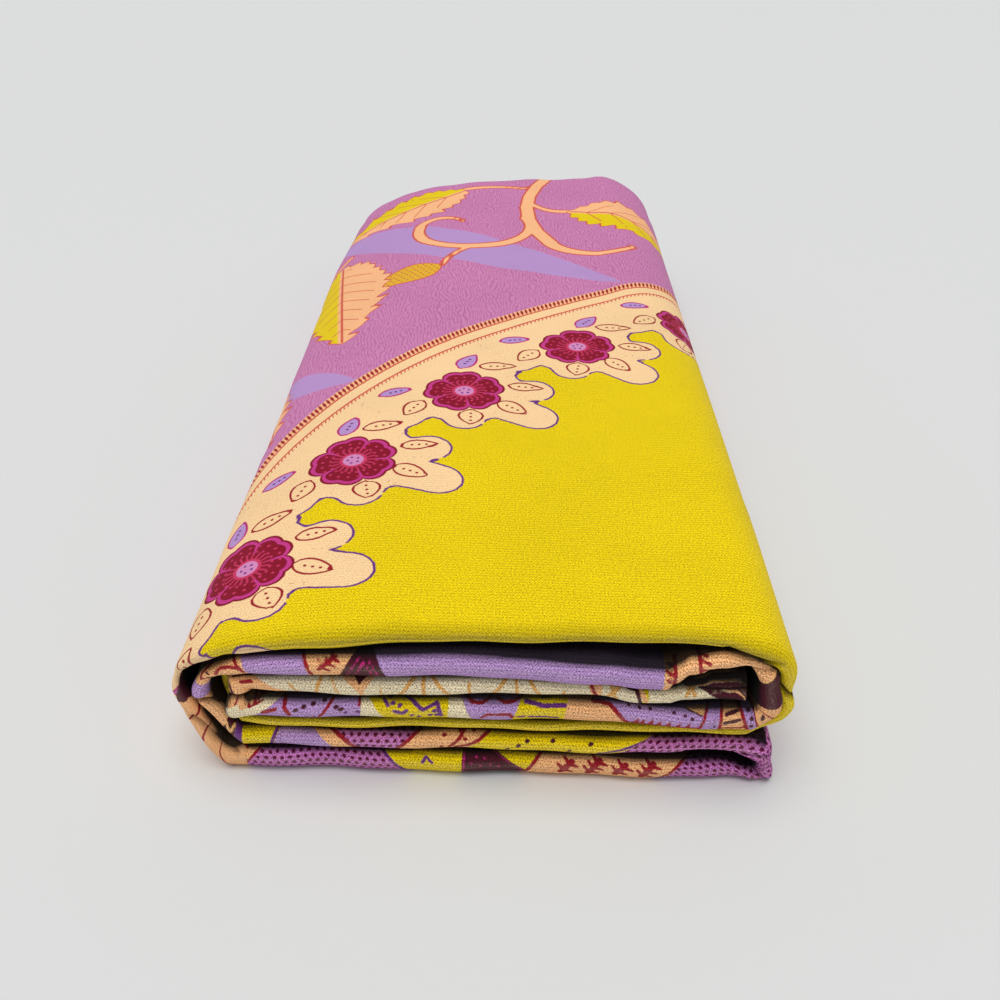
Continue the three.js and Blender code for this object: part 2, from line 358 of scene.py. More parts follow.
def columns_of(stretch, counts):
    """For each point of a side: its run, how far it follows that run, and if its outer side is high."""
    _, turns, end = stretch
    rows = [(turns[0][0], 1.0, turns[0][3] == "high")]
    for i, (run, _, _, outside) in enumerate(turns):
        high = outside == "high"
        on_run = i % 2 == 0
        rows += [(run, 1.0 if on_run else 0.0, high)] * (max(1, counts["straights"][i]) - 1)
        angle = np.linspace(0, np.pi / 2, counts["turns"][i] + 1)
        angle = angle if on_run else angle[::-1]
        turn = [(run, math.cos(a) ** 2, high) for a in angle]
        rows += turn if counts["straights"][i] > 0 else turn[1:]
    last_run, _, last_high = rows[-1]
    follow = 1.0 if end[0] == "x" else 0.0
    tail = counts["tail"] + 1 if end[3] else 1
    rows += [(last_run, follow, last_high)] * (max(1, counts["straights"][-1]) - 1 + tail)
    runs = np.array([r[0] for r in rows])
    return runs, np.array([r[1] for r in rows]), np.array([r[2] for r in rows])


def count_steps(stretch, step):
    """How many steps of about that length each straight and turn takes, on the outer side in front."""
    start_x, turns, end = stretch
    corners = corners_of(turns, "outer", 0.0)
    here = np.array([start_x, corners[0][1]])
    counts = {"turns": [], "straights": [], "tail": FREE_END_STEPS}
    for i, corner in enumerate(corners):
        turn = quarter_turn(corner, i % 2 == 0, 24)
        length = np.linalg.norm(np.diff(turn, axis=0), axis=1).sum()
        gap = np.linalg.norm(turn[0] - here)
        counts["turns"].append(max(FEWEST_TURN_STEPS, round(length / step)))
        counts["straights"].append(max(1, round(gap / step)) if gap > SHORTEST_STRAIGHT else 0)
        here = turn[-1]
    gap = abs(end[1] - (here[0] if end[0] == "x" else here[1]))
    counts["straights"].append(max(1, round(gap / step)))
    return counts


def stations(nose_rings, body):
    """Rings along Y: distance from the front, share of the full thickness, share of the change of shape."""
    angle = np.linspace(0, np.pi / 2, nose_rings + 1)[:-1]
    nose = [(NOSE_DEPTH * (1 - math.cos(a)), math.sin(a)) for a in angle]
    rings = nose + [(along, 1.0) for along in body]
    rings += [(LENGTH - depth, full) for depth, full in reversed(nose)]
    along = np.array([r[0] for r in rings])
    full = np.array([r[1] for r in rings])
    return along, full, change_of_shape(along)


def change_of_shape(along):
    """0 at the front, and from the shoulders' start on up to 1 at the far end."""
    return np.maximum(0, (along - SHOULDER_START) / (LENGTH - SHOULDER_START))


def eased(table, x):
    """A table's value at x, easing in and out of each of its places."""
    places = np.array(sorted(table), float)
    values = np.array([table[place] for place in sorted(table)], float)
    k = np.clip(np.searchsorted(places, x, side="right") - 1, 0, len(places) - 2)
    share = np.clip((x - places[k]) / (places[k + 1] - places[k]), 0, 1)
    share = share * share * (3 - 2 * share)
    return between(values[k], values[k + 1], share)


def shift_faces(moved, side, x, depth, columns):
    """Moves the runs' faces up or down to where they lie at the front, less and less further back."""
    runs, follow, outer_high = columns
    stack = stack_runs(0.0)
    fade = np.exp(-((depth / FRONT_FACES_FADE) ** 2))
    for run, table in FRONT_FACES.items():
        for high in (False, True):
            here = (runs == run) & ((outer_high if side == "outer" else ~outer_high) == high)
            if here.any():
                shifts = {place: faces[high] - stack[run][high] for place, faces in table.items()}
                moved[:, here, 1] += eased(shifts, x[:, here]) * follow[here] * fade


def press_dents(moved, name, side, x, z, depth):
    """Adds the local dents and bulges of one side's front."""
    for stretch, dent_side, dent_x, dent_z, move_x, move_z, radius, fade in DENTS:
        if stretch == name and dent_side in (side, "both"):
            bump = np.exp(-((x - dent_x) ** 2 + (z - dent_z) ** 2) / radius**2)
            bump = bump * np.exp(-((depth / fade) ** 2))
            moved[..., 0] += move_x * bump
            moved[..., 1] += move_z * bump


def crease_cover(moved, x, z, along, columns):
    """Adds the soft folds of the cover's top and sides."""
    runs, follow, _ = columns
    y = along[:, None] - LENGTH / 2 + np.zeros_like(x)
    for face, start, end, half, out in CREASES:
        if face == "top":
            bump = np.exp(-((line(x, y, 0, start, end) / half) ** 2))
            moved[..., 1] += out * (bump * (runs == "top") * follow)
        else:
            way = 1 if face == "right" else -1
            bump = np.exp(-((line(y, z, 0, start, end) / half) ** 2))
            moved[..., 0] += way * out * (bump * (way * x > WALL_FROM) * (1 - follow))


def shape_side(name, side, points, along, columns):
    """One side's points, kept as (ring, column, xz), moved from the plain stack to where they lie."""
    x, z = points[..., 0], points[..., 1]
    depth = np.maximum(0, along - NOSE_DEPTH)[:, None]
    moved = points.copy()
    shift_faces(moved, side, x, depth, columns)
    press_dents(moved, name, side, x, z, depth)
    if name == "cover":
        crease_cover(moved, x, z, along, columns)
    to_far = change_of_shape(along)[:, None]
    moved[..., 1] = np.maximum(0, moved[..., 1] * (1 + eased(FAR_WAVE, moved[..., 0]) * to_far**1.5))
    leftness = np.clip((-40 - moved[..., 0]) / 45, 0, 1)
    moved[..., 0] -= eased(LEFT_BULGE, along)[:, None] * leftness**2
    return moved


def front_reach(name, columns, middle):
    """How far a stretch's front fold stands out at every point."""
    reach = follow_runs(columns, FRONT_REACH)
    for stretch, back_x, back_z, radius, far_back in SET_BACK:
        if stretch == name:
            away = np.hypot(middle[..., 0] - back_x, middle[..., 1] - back_z)
            reach = reach - far_back * np.exp(-((away / radius) ** 2))
    return reach


def build_grids(name, step, nose_rings, body):
    """Outer and inner side of a stretch as grids of points: ring, place along the path, (x, y, z)."""
    stretch = STRETCHES[name]
    counts = count_steps(stretch, step)
    columns = columns_of(stretch, counts)
    along, full, share = stations(nose_rings, body)
    sides = []
    for side in ("outer", "inner"):
        points = np.stack([side_points(stretch, side, s, counts) for s in share])
        sides.append(shape_side(name, side, points, along, columns))
    outer, inner = sides
    middle = (outer + inner) / 2
    thickness = np.linalg.norm(outer - inner, axis=2)
    depth = np.clip(NOSE_ROUNDNESS * thickness, 1, NOSE_DEPTH)
    slope = np.sqrt(1 - full**2)[:, None]
    front = along[:, None] < LENGTH / 2
    root = np.where(front, NOSE_DEPTH, LENGTH - NOSE_DEPTH)
    in_nose = (full < 1)[:, None]
    y = np.where(in_nose, root + np.where(front, -1, 1) * depth * slope, along[:, None])
    turn = follow_runs(columns, {run: 1.7 * place for place, run in enumerate(FRONT_REACH)})
    near = np.exp(-((np.maximum(0, along - NOSE_DEPTH) / 9) ** 2))[:, None] * front
    y = y - front_reach(name, columns, middle) * near
    y = y - LENGTH / 2
    full = full[:, None, None]
    grids = []
    for side in (outer, inner):
        drawn = middle + (side - middle) * full
        x, z = drawn[..., 0], drawn[..., 1]
        pushed = y + waviness(turn, x, along[:, None]) + groove_depth(name, x, z) * slope * front
        grids.append(np.stack([x, pushed, z], -1))
    path = grids[0][nose_rings][:, [0, 2]]
    return grids[0], grids[1], columns, path


def groove_depth(name, x, z):
    """How deep the grooves of a stretch's front fold are at each place."""
    deepest = np.zeros(x.shape)
    for stretch, half, deep, *points in GROOVES:
        if stretch == name:
            deepest = np.maximum(deepest, deep * np.exp(-((line(x, z, 0, *points) / half) ** 2)))
    return deepest


def waviness(turn, x, along):
    """Small ups and downs of the folded edges, by place across: more to the front or to the back."""
    wave = 0.35 * np.sin(x / 9.5 + turn) + 0.25 * np.sin(x / 4.3 + 2 * turn)
    front = np.exp(-((np.maximum(0, along - NOSE_DEPTH) / 10) ** 2))
    far = np.exp(-((np.maximum(0, LENGTH - NOSE_DEPTH - along) / 10) ** 2))
    return wave * front - 1.4 * wave * far


def follow_runs(columns, values):
    """A value for each column from its run's, going over gently from run to run along the walls."""
    runs, follow, _ = columns
    level = np.array([values[r] for r in runs], float)
    fixed = np.flatnonzero(follow > 0.5)
    return np.interp(np.arange(len(runs)), fixed, level[fixed])


def run_across(columns, path, run):
    """Distance along the path, measured as x on one run and carried on round the turns at its ends."""
    runs, follow, _ = columns
    along = np.concatenate([[0], np.cumsum(np.linalg.norm(np.diff(path, axis=0), axis=1))])
    flat = np.flatnonzero((runs == run) & (follow > WHOLLY))
    first, last = flat[0], flat[-1]
    way = np.sign(path[last, 0] - path[first, 0])
    x = path[:, 0].copy()
    x[:first] = path[first, 0] - way * (along[first] - along[:first])
    x[last + 1 :] = path[last, 0] + way * (along[last + 1 :] - along[last])
    return x


def across_cloth(grid, columns, run, root):
    """Distance across the cloth at every point: x at one place on a run, and carried on along each ring."""
    rings = len(grid)
    ring = np.clip(np.arange(rings), root, rings - 1 - root)
    path = grid[ring][:, :, [0, 2]]
    step = np.linalg.norm(np.diff(path, axis=1), axis=2)
    along = np.concatenate([np.zeros((rings, 1)), np.cumsum(step, axis=1)], axis=1)
    runs, follow, _ = columns
    flat = np.flatnonzero((runs == run) & (follow > WHOLLY))
    way = np.sign(path[0, flat[-1], 0] - path[0, flat[0], 0])
    order = flat if way > 0 else flat[::-1]
    start = np.array([np.interp(STILL_X, row[order, 0], a[order]) for row, a in zip(path, along)])
    return STILL_X + way * (along - start[:, None])


def along_cloth(grid, sign, root):
    """Distance along the cloth from the front fold's tip and from the far one's, for each point."""
    step = np.linalg.norm(np.diff(grid, axis=0), axis=2)
    step[root:-root] = np.abs(np.diff(grid[..., 1], axis=0))[root:-root]
    zero = np.zeros((1, grid.shape[1]))
    front = np.concatenate([zero, np.cumsum(step, axis=0)])
    far = np.concatenate([np.cumsum(step[::-1], axis=0)[::-1], zero])
    return sign * front, sign * far


def painted_shade_depth(name, side, columns, fold):
    """How deep the painted shade is at each point: how far back from the folded edge it lies between two
    layers, where shade falls. On the packet's outside this is nought, but for the front fold of its top,
    which gets painted shade where it turns out of the light."""
    runs, follow, outer_high = columns
    open_run = {"cover": ("top", "bottom"), "bottom_wrap": ("bottom",)}.get(name, ())
    wall = follow < (0.97 if name == "bottom_wrap" else 0.5)
    shown = np.isin(runs, open_run) | wall if side == "outer" and open_run else np.zeros(len(runs), bool)
    above = (fold > 0) == outer_high
    start = np.where(above, follow_runs(columns, PAINTED_SHADE_START), LOW_PAINTED_SHADE_START)
    if name == "cover":
        start = between(*COVER_PAINTED_SHADE_START, (runs == "top") * follow)
    # Painted shade on the cover's front fold, darkest at its tip, where it turns out of the light
    nose_top_shade = np.maximum(0, 1.3 - np.abs(fold) * 0.2) * (runs == "top") * follow
    return np.where(shown, nose_top_shade, np.maximum(0, np.abs(fold) - start))


def gather(outer, inner, ridges=None):
    """Every vertex's value from the two sides' grids, and from the free end's ridges if there are any."""
    shape = outer.shape[2:]
    parts = [outer.reshape(-1, *shape), inner[1:-1].reshape(-1, *shape)]
    if ridges is not None:
        parts.append(ridges.reshape(-1, *shape))
    return np.concatenate(parts)


def end_rows(outer, inner):
    """Values between the two sides at the strip's free end, a row for each layer's edge and each dip."""
    share = np.arange(1, 2 * LAYERS) / (2 * LAYERS)
    share = share.reshape(1, -1, *[1] * (outer.ndim - 2))
    return outer[1:-1, -1][:, None] * (1 - share) + inner[1:-1, -1][:, None] * share


def quads(a, b, c, d):
    return np.stack([a.ravel(), b.ravel(), c.ravel(), d.ravel()], 1)


def closed_mesh(name, outer, inner, layered):
    """Joins the two grids at both noses and both ends into one closed mesh."""
    rings, columns = outer.shape[:2]
    index_outer = np.arange(rings * columns).reshape(rings, columns)
    index_inner = np.full((rings, columns), -1)
    index_inner[0], index_inner[-1] = index_outer[0], index_outer[-1]
    index_inner[1:-1] = rings * columns + np.arange((rings - 2) * columns).reshape(rings - 2, columns)
    cap = [index_outer[:, -1], index_inner[:, -1]]
    ridges = None
    if layered:
        ridges = end_rows(outer, inner)
        outward = outer[1:-1, -1] - outer[1:-1, -3] + inner[1:-1, -1] - inner[1:-1, -3]
        outward[:, 1] = 0
        outward /= np.linalg.norm(outward, axis=1)[:, None]
        ridges[:, 0::2] += LAYER_RIDGE * outward[:, None]
        rows = ridges.shape[1]
        middle = np.empty((rings, rows), int)
        middle[1:-1] = (2 * rings - 2) * columns + np.arange((rings - 2) * rows).reshape(rings - 2, rows)
        middle[0], middle[-1] = index_outer[0, -1], index_outer[-1, -1]
        cap[1:1] = list(middle.T)
    points = gather(outer, inner, ridges)
    o, n = index_outer, index_inner
    faces = [
        quads(o[:-1, :-1], o[:-1, 1:], o[1:, 1:], o[1:, :-1]),
        quads(n[:-1, :-1], n[1:, :-1], n[1:, 1:], n[:-1, 1:]),
        quads(o[:-1, 0], o[1:, 0], n[1:, 0], n[:-1, 0]),
    ]
    faces += [quads(a[:-1], b[:-1], b[1:], a[1:]) for a, b in zip(cap, cap[1:])]
    faces = [list(dict.fromkeys(f)) for f in np.concatenate(faces).tolist()]
    faces = [f for f in faces if len(f) > 2]
    mesh = bpy.data.meshes.new(name)
    mesh.from_pydata((points * MM).tolist(), [], faces)
    mesh.validate()
    a, b, c = (points[[f[k] for f in faces]] for k in range(3))
    if (a * np.cross(b, c)).sum() < 0:
        mesh.flip_normals()
    mesh.shade_smooth()
    thing = bpy.data.objects.new(name, mesh)
    bpy.context.scene.collection.objects.link(thing)
    return thing


def keep_values(thing, values):
    """Stores each named array of vertex values: cloth as the UV map, the others as attributes."""
    mesh = thing.data
    for key, value in values.items():
        if key == "cloth":
            corners = np.empty(len(mesh.loops), np.int32)
            mesh.loops.foreach_get("vertex_index", corners)
            layer = mesh.uv_layers.new(name=key)
            layer.uv.foreach_set("vector", value[corners].astype(np.float32).ravel())
        else:
            kind, field = ("FLOAT", "value") if value.ndim == 1 else ("FLOAT_VECTOR", "vector")
            layer = mesh.attributes.new(key, kind, "POINT")
            layer.data.foreach_set(field, value.astype(np.float32).ravel())


# ---------------------------------------------------------------- shapes of the print
# A shape is an array of distances to its edge, below zero inside it.
FAR = 3.0  # further from an ink's edge than this, the distance is kept as this


def nearest_on(x, y, a, b):
    """Distance to the stretch from a to b, and the share of the way along it."""
    ax, ay = a
    dx, dy = b[0] - ax, b[1] - ay
    share = np.clip(((x - ax) * dx + (y - ay) * dy) / (dx * dx + dy * dy), 0, 1)
    return np.hypot(x - ax - share * dx, y - ay - share * dy), share


def line(x, y, width, *points):
    """A stroke through the points. width is one number, or the widths at its two ends."""
    first, last = width if isinstance(width, tuple) else (width, width)
    shape = np.full(x.shape, 1e3)
    for k, (a, b) in enumerate(zip(points, points[1:])):
        away, share = nearest_on(x, y, a, b)
        here = between(first, last, (k + share) / (len(points) - 1))
        shape = np.minimum(shape, away - here / 2)
    return shape


def dots(x, y, radius, *points):
    return np.min([np.hypot(x - px, y - py) for px, py in points], axis=0) - radius


def slab(x, y, left, right):
    """Between two edges, each given as x at height 0 and x at height 5, or one x where it is upright."""
    edges = []
    for edge in (left, right):
        low, high = edge if isinstance(edge, tuple) else (edge, edge)
        edges.append(low + (high - low) * y / 5)
    return np.maximum(edges[0] - x, x - edges[1])


def area(x, y, rounding, *points):
    """A closed outline through the points, with its corners rounded off a little."""
    away = np.full(x.shape, 1e3)
    inside = np.zeros(x.shape, bool)
    for a, b in zip(points, points[1:] + points[:1]):
        away = np.minimum(away, nearest_on(x, y, a, b)[0])
        if a[1] != b[1]:
            crosses = (a[1] > y) != (b[1] > y)
            inside ^= crosses & (x < a[0] + (y - a[1]) * (b[0] - a[0]) / (b[1] - a[1]))
    return np.where(inside, -away, away) - rounding


def twig(x, y, width, start, end, barbs):
    """A little stem with short barbs in pairs."""
    (ax, ay), (bx, by) = start, end
    length = math.hypot(bx - ax, by - ay)
    ux, uy = (bx - ax) / length, (by - ay) / length
    shape = line(x, y, width, start, end)
    for k in range(barbs):
        along = length * (k + 0.5) / barbs
        foot = (ax + ux * along, ay + uy * along)
        for turn in (-1, 1):
            tip = (foot[0] + 2.3 * (ux * 0.5 - turn * uy), foot[1] + 2.3 * (uy * 0.5 + turn * ux))
            shape = np.minimum(shape, line(x, y, (width, width * 0.6), foot, tip))
    return shape


SHAPES = {"line": line, "dots": dots, "slab": slab, "area": area, "twig": twig}
BAND_INKS = ["white", "peach", "mauve", "lilac", "maroon", "ochre", "magenta", "red", "purple"]


def print_shapes(inks, x, y, groups):
    """Prints each shape in its ink over what is there. Yellow is the ground that is left bare."""
    for ink_name, kind, *rows in groups:
        on_top = BAND_INKS[BAND_INKS.index(ink_name) + 1 :]
        for numbers in rows:
            shape = SHAPES[kind](x, y, *numbers)
            for other in on_top:
                inks[other] = np.maximum(inks[other], -shape)
            inks[ink_name] = np.minimum(inks[ink_name], shape)


# What each run's front fold shows: ink, kind of shape, and the numbers of each such shape. Places are x
# across the packet and height round the fold
BAND_PRINTS = {
    "inner_wrap": {
        "sixth": [
            ("lilac", "slab", (-68.4, 49.8)),
            ("peach", "slab", (-200, -68.4), (-50, -40), (49.8, 82)),
            ("maroon", "slab", (82, 200)),
            ("red", "line", (1.2, (-71.6, 6), (-69.2, -0.5)),
             (1.1, (-79, 0.2), (-76.5, 1.8), (-73, 1.9), (-69.5, 0.8)),
             (1.1, (-80, 5), (-85, 1), (-81, -2.5)), (1.1, (52.7, -3), (52.6, 8)),
             ((0.5, 1.1), (52.5, -0.8), (50.7, 1.4)), ((0.5, 1.1), (52.5, 1.6), (50.4, 4)),
             ((0.5, 1.1), (52.5, 4.2), (50.7, 6.4)), (1.1, (58.8, 8), (59.1, 3), (59.6, -2)),
             ((0.5, 1.1), (59, 1), (61.7, -1)), ((0.5, 1.1), (59, 3.4), (61.8, 1.3)),
             ((0.5, 1.1), (58.8, 5.8), (61, 3.8))),
            ("maroon", "line", (0.8, (-81.5, 1.8), (-81, 0.8)), (0.8, (-82.3, 0), (-81.6, -0.8))),
            ("lilac", "slab", (-93, -87.5)),
            ("red", "slab", (-94.2, -93), ((-49.9, -50.6), (-48.7, -49.4))),
            ("red", "twig", (1.2, (-46.4, 0.2), (-41, 4), 3)),
            ("peach", "slab", (-40, -34)),
            ("maroon", "area", (0.3, (-41.6, -4), (-27, -4), (-31, 7), (-34.4, 7))),
            ("magenta", "line", (0.6, (-38.8, -2.4), (-34.4, 4)),
             (0.6, (-35.8, -1.6), (-33.4, 2.6), (-31, -1.6)), (0.6, (-29.4, -2), (-31.6, 3))),
        ],
        "second": [
            ("lilac", "slab", ((-61.8, -60), 200)),
            ("purple", "slab", ((-63, -61.2), (-61.8, -60)), (-75, -71.5)),
            ("maroon", "slab", (-80.4, -75)),
            ("peach", "line", (1.1, (-75.6, 3), (-77.5, -1), (-79.6, 1))),
            ("peach", "slab", (-200, -80.4)),
        ],
        "fourth": [
            ("peach", "slab", (0, 200)),
            ("maroon", "line", ((1.4, 1.1), (69.3, 3), (72.6, 4.2)),
             ((1.4, 1.1), (69.2, 0), (73.4, 1.2)), ((1.5, 1.2), (82, 3.6), (84.8, 4.6)),
             ((1.5, 1.2), (83, 0.2), (86, 1.2))),
            ("red", "line", (1, (68.5, -2.6), (74, -2.4), (75.4, -1)),
             (1, (86.5, 6), (88.2, 2), (86.8, -2.5))),
            ("lilac", "slab", ((63, 64), 67.5), ((74.8, 73), (79, 77))),
            ("maroon", "dots", (0.78, (65.3, 3.4), (65.2, 0.6), (66, -1.6)),
             (0.78, (75.6, 4.6), (76.8, 1.8), (77, -1))),
            ("red", "slab", ((62, 63), (63, 64)), (67.3, 68.3), ((74.4, 72.6), (75.6, 73.8)),
             ((78.6, 76.8), (79.8, 78))),
            ("maroon", "slab", ((91.5, 90.5), 200)),
        ],
    },
    "core_fold": {
        "fifth": [
            ("white", "slab", (-70, 45)),
            ("peach", "slab", (-200, (-61.8, -66)), ((45, 42), (46.5, 44)), ((30, 28.4), 33.2)),
            ("maroon", "line", (0.9, (-72, 4), (-66.5, 4.8)),
             ((1.4, 1), (40.6, 3.6), (43.2, 3), (44.6, -1.8)),
             (1.4, (-76, 3.4), (-79.6, 1.4), (-80.4, -2))),
            ("red", "line", (1.3, (-71, 1.6), (-67.5, 2.4)), (1.1, (32.3, -2.5), (30.4, 1.5), (29.8, 5)),
             (1.1, (-83, -4), (-87.4, -2.4)), (1.1, (-83, 0.6), (-87.4, 1))),
            ("peach", "area", (0.3, (-41.5, 6.5), (-35.5, -1), (-29.5, 6.5))),
            ("maroon", "area", (0.2, (-37.6, 7), (-31, 7), (-35.4, 2.2))),
            ("red", "area", (-0.2, (-36.4, 7), (-33, 7), (-35.2, 3.8))),
            ("white", "slab", (46.5, 57), (57, 72)),
            ("ochre", "line", (1, (-56.6, -3), (-56.5, 1.4)), (1, (-50.6, -2.6), (-45.6, 5)),
             (1, (-43, -3), (-43.2, 5)), (0.9, (-29.2, -3), (-29.4, 1.4)),
             (1.1, (-24, -2.4), (-19.2, 5)), (1.1, (-16.9, -2.4), (-17.1, 5)),
             (1.1, (-9.4, -2.4), (-15, 5)), (1, (-4.1, -3), (-4.2, 2)), (1.1, (2.4, -2.4), (7.2, 5)),
             (1, (9.5, -2.4), (8.8, 5)), (1.1, (16.2, -2.4), (11.8, 5)), (0.9, (22.6, -3), (22.5, 0)),
             (1.2, (34.6, -2), (36.4, 1), (35.2, 5)), (1.2, (37.6, -2), (36.6, 1), (39.4, 5)),
             (1.1, (56.8, -2), (58, 1), (57, 4)), (1.1, (59.4, -2), (58.4, 1), (60.4, 3))),
            ("maroon", "slab", ((61, 56.5), 200)),
            ("peach", "line", (1.4, (-35.5, 0), (-35.5, -3)), (0.9, (57.8, 4.4), (72.5, 5.2)),
             (0.8, (65.6, 2), (74.5, 2.4)), (0.9, (64.4, -2.2), (77, -1.4)), (0.6, (59, 7), (70, 8))),
        ],
        "fourth": [
            ("white", "slab", (-200, (-65.8, -62.2))),
            ("peach", "area", (0, (-90, 8), (-90, 1), (-75, 1), (-63, 8))),
            ("lilac", "slab", ((-65.8, -62.2), (-37, -38.4)), ((-5.6, -8.6), (8, 8.8))),
            ("red", "line", (1.1, (-72, 9), (-70, 3.5), (-67.5, 8)),
             (1.1, (-73.6, 4.2), (-71, 2.2), (-67.4, 4)), ((2, 1.6), (-65, -0.2), (-62.4, 1)),
             (1.2, (-60.9, 6), (-59.9, 2), (-57.2, -1)), (1.1, (-46.2, 6), (-47.6, 1.4), (-48.4, -2)),
             (1.1, (-38.7, 5.4), (-38.2, 2.6)), (1.2, (-7.4, 6.2), (-5.2, 4), (-2.4, 3.8), (0.2, 6)),
             (1.2, (1.8, 5.6), (4.2, 4.2), (7, 4.4), (9, 6)), (1.1, (-1.4, -1.4), (0, 0.2), (2, 0.2)),
             (1.1, (3, 0.2), (6.4, 0.2), (7.6, -1.2))),
            ("purple", "line", (1.1, (-38, 0.4), (-35.6, -0.8)), (1.4, (10.4, 4.3), (16, 2.6), (22, 3)),
             (1.2, (-25, 6), (-19, 1.2), (-15.5, 3.6), (-13, -1.4)), (1.2, (-27.4, 0.9), (-24.3, 0)),
             (1, (-31.4, 4.6), (-29.6, 2.6)), (0.9, (8.8, -1), (11, -1)),
             (1, (12.5, -1.2), (17, -1.4), (21, -2))),
            ("purple", "dots", (0.65, (-52, -2), (-49.8, -2.1), (-41.2, 0), (-55, -2.4)),
             (0.72, (-29.6, 5.4), (-26.2, 2.8), (-24, 1), (-21.6, -0.8), (-19.4, -1.8), (-16.4, -0.9)),
             (0.72, (-15.6, 0.9), (-14.4, -0.8), (-28.4, 3.4))),
            ("white", "slab", ((-37, -38.4), (-31.6, -36.2)), ((-11.4, -12.4), (-5.6, -8.6))),
            ("peach", "slab", (22.6, 40)),
            ("lilac", "area", (0, (30, 5), (35, 4), (41, -2), (90, -3), (90, 12), (30, 12))),
            ("red", "line", (1.3, (30, 5), (35, 4), (41, -2), (64, -2.5)),
             ((1.7, 0.4), (43.2, -1.6), (43.9, 0.4)), ((1.7, 0.4), (45.2, -1.6), (45.8, 0.6)),
             ((1.7, 0.4), (47.6, -1.6), (48.2, 0.8)), ((1.7, 0.4), (50, -1.6), (50.6, 0.8)),
             ((1.7, 0.4), (52.6, -1.8), (53.2, 0.6)), ((1.7, 0.4), (55.6, -2), (56.2, 0.2)),
             ((1.7, 0.4), (58.2, -2.2), (58.8, 0))),
            ("maroon", "dots",
             (0.78, (-56.2, 1.2), (-54.3, 2.4), (-51.8, 3.4), (-48.9, 4.4), (-44.9, 2), (-43, 1.2)),
             (0.6, (40.6, 4.2), (43.8, 3.8), (47, 3.9), (54, 3.4), (57.2, 2.6), (59.4, 1.6))),
            ("peach", "area", (0.2, (57.3, 5.2), (63, 6), (62.3, 2.8))),
            ("maroon", "line", (0.7, (14.8, 5.2), (17.4, 5.2)), (0.6, (57, 5), (62.2, 2.6))),
            ("red", "slab", ((62, 63), (63, 64))),
            ("lilac", "slab", ((63, 64), 67.5)),
        ],
    },
    "bottom_wrap": {
        "bottom": [
            ("mauve", "slab", (-200, (-24.6, -28)), ((59.6, 66.2), 200)),
            ("purple", "slab", ((-25.8, -29.2), (-24.6, -28))),
            ("purple", "line", (1, (-16.8, 1), (-15.2, 3.2), (-13.8, 1.2))),
            ("maroon", "slab", ((-5, -3.6), (12.4, 7.4))),
            ("magenta", "slab", ((-4.6, -3.2), (-4.1, -2.7)), ((11.2, 6.2), (11.8, 6.8))),
            ("magenta", "dots",
             (0.45, (-1.6, 1.4), (0.8, 0.4), (2.9, 3), (4, 0.6), (6.4, -0.2), (-3.4, 3.2), (0.4, 3.6))),
            ("peach", "slab", (-200, (-71, -67)), ((15.4, 19.8), (58.4, 65))),
            ("red", "slab", ((-71, -67), (-69.9, -65.9)), ((58.2, 64.8), (59.6, 66.2)),
             ((15.4, 19.8), (16.8, 21.2))),
            ("red", "twig", (1.7, (24.6, -1.6), (30, 3), 2), (1.7, (32.8, -2.2), (38.8, 3.8), 3),
             (1.7, (41.4, -1.6), (46.6, 3), 2), (1.7, (49, -2.2), (55.6, 3.8), 3)),
        ],
        "second": [
            ("lilac", "slab", (-68, (-45.5, -50.6))),
            ("peach", "slab", ((-45.5, -50.6), (-2, 2))),
            ("mauve", "area", (0, (-46, 7), (-37, -2), (-25, -2), (-18, 7))),
            ("red", "dots", (0.7, (-11.2, 3.2), (-11.4, -1), (-4.8, 1.8), (-6.8, 4.6), (-2.8, 4.8))),
            ("red", "line", (1.3, (-46, 6), (-37, -1.6)), (1.3, (-25, -1.6), (-18.6, 5.6)),
             (1.2, (-5.4, 5.4), (-6.6, 2.2), (-8.8, -1)),
             (1.2, (2, 5.4), (-0.8, 1.8), (-4, -0.4), (-7, -1.4))),
            ("maroon", "dots",
             (0.75, (11.4, 0.6), (13.4, 2.2), (21, 2.6), (32.2, 2.4), (27.2, -0.8), (8.6, -1))),
            ("purple", "line", (1.1, (36, -1.6), (42, 0), (55, 6))),
            ("mauve", "slab", (-200, -68), ((44.4, 50), 200)),
        ],
    },
    "tucked_end": {},
}


def print_bands(name, columns, path, front, far):
    """The distances to each ink's edge at every point of one side."""
    runs, _, outer_high = columns
    nearer_front = np.abs(front) < np.abs(far)
    height = np.clip(np.where(nearer_front, front, far), -14, 14)
    inks = {ink_name: np.full(front.shape, FAR) for ink_name in BAND_INKS}
    for run, groups in BAND_PRINTS[name].items():
        chosen = runs == run
        high = np.where(outer_high[chosen], 1, -1)
        x = run_across(columns, path, run)[chosen]
        x = np.where(nearer_front[:, chosen], x, np.where(x > 70, x, -x))
        here = {ink_name: shape[:, chosen] for ink_name, shape in inks.items()}
        print_shapes(here, x, height[:, chosen] * high, groups)
        for ink_name, shape in here.items():
            inks[ink_name][:, chosen] = np.clip(shape, -FAR, FAR)
    return inks


# ---------------------------------------------------------------- the big print on the cover
# The border runs round a circle, in repeats of one flower each. Along the border is p, and outward is q.
CIRCLE = (209, -65.5)
BORDER_RADIUS = 300
REPEAT = 60
FIRST_FLOWER, FLOWER_STEP, FLOWERS = 195, 11.5, 13  # degrees round the circle, from the left wall on
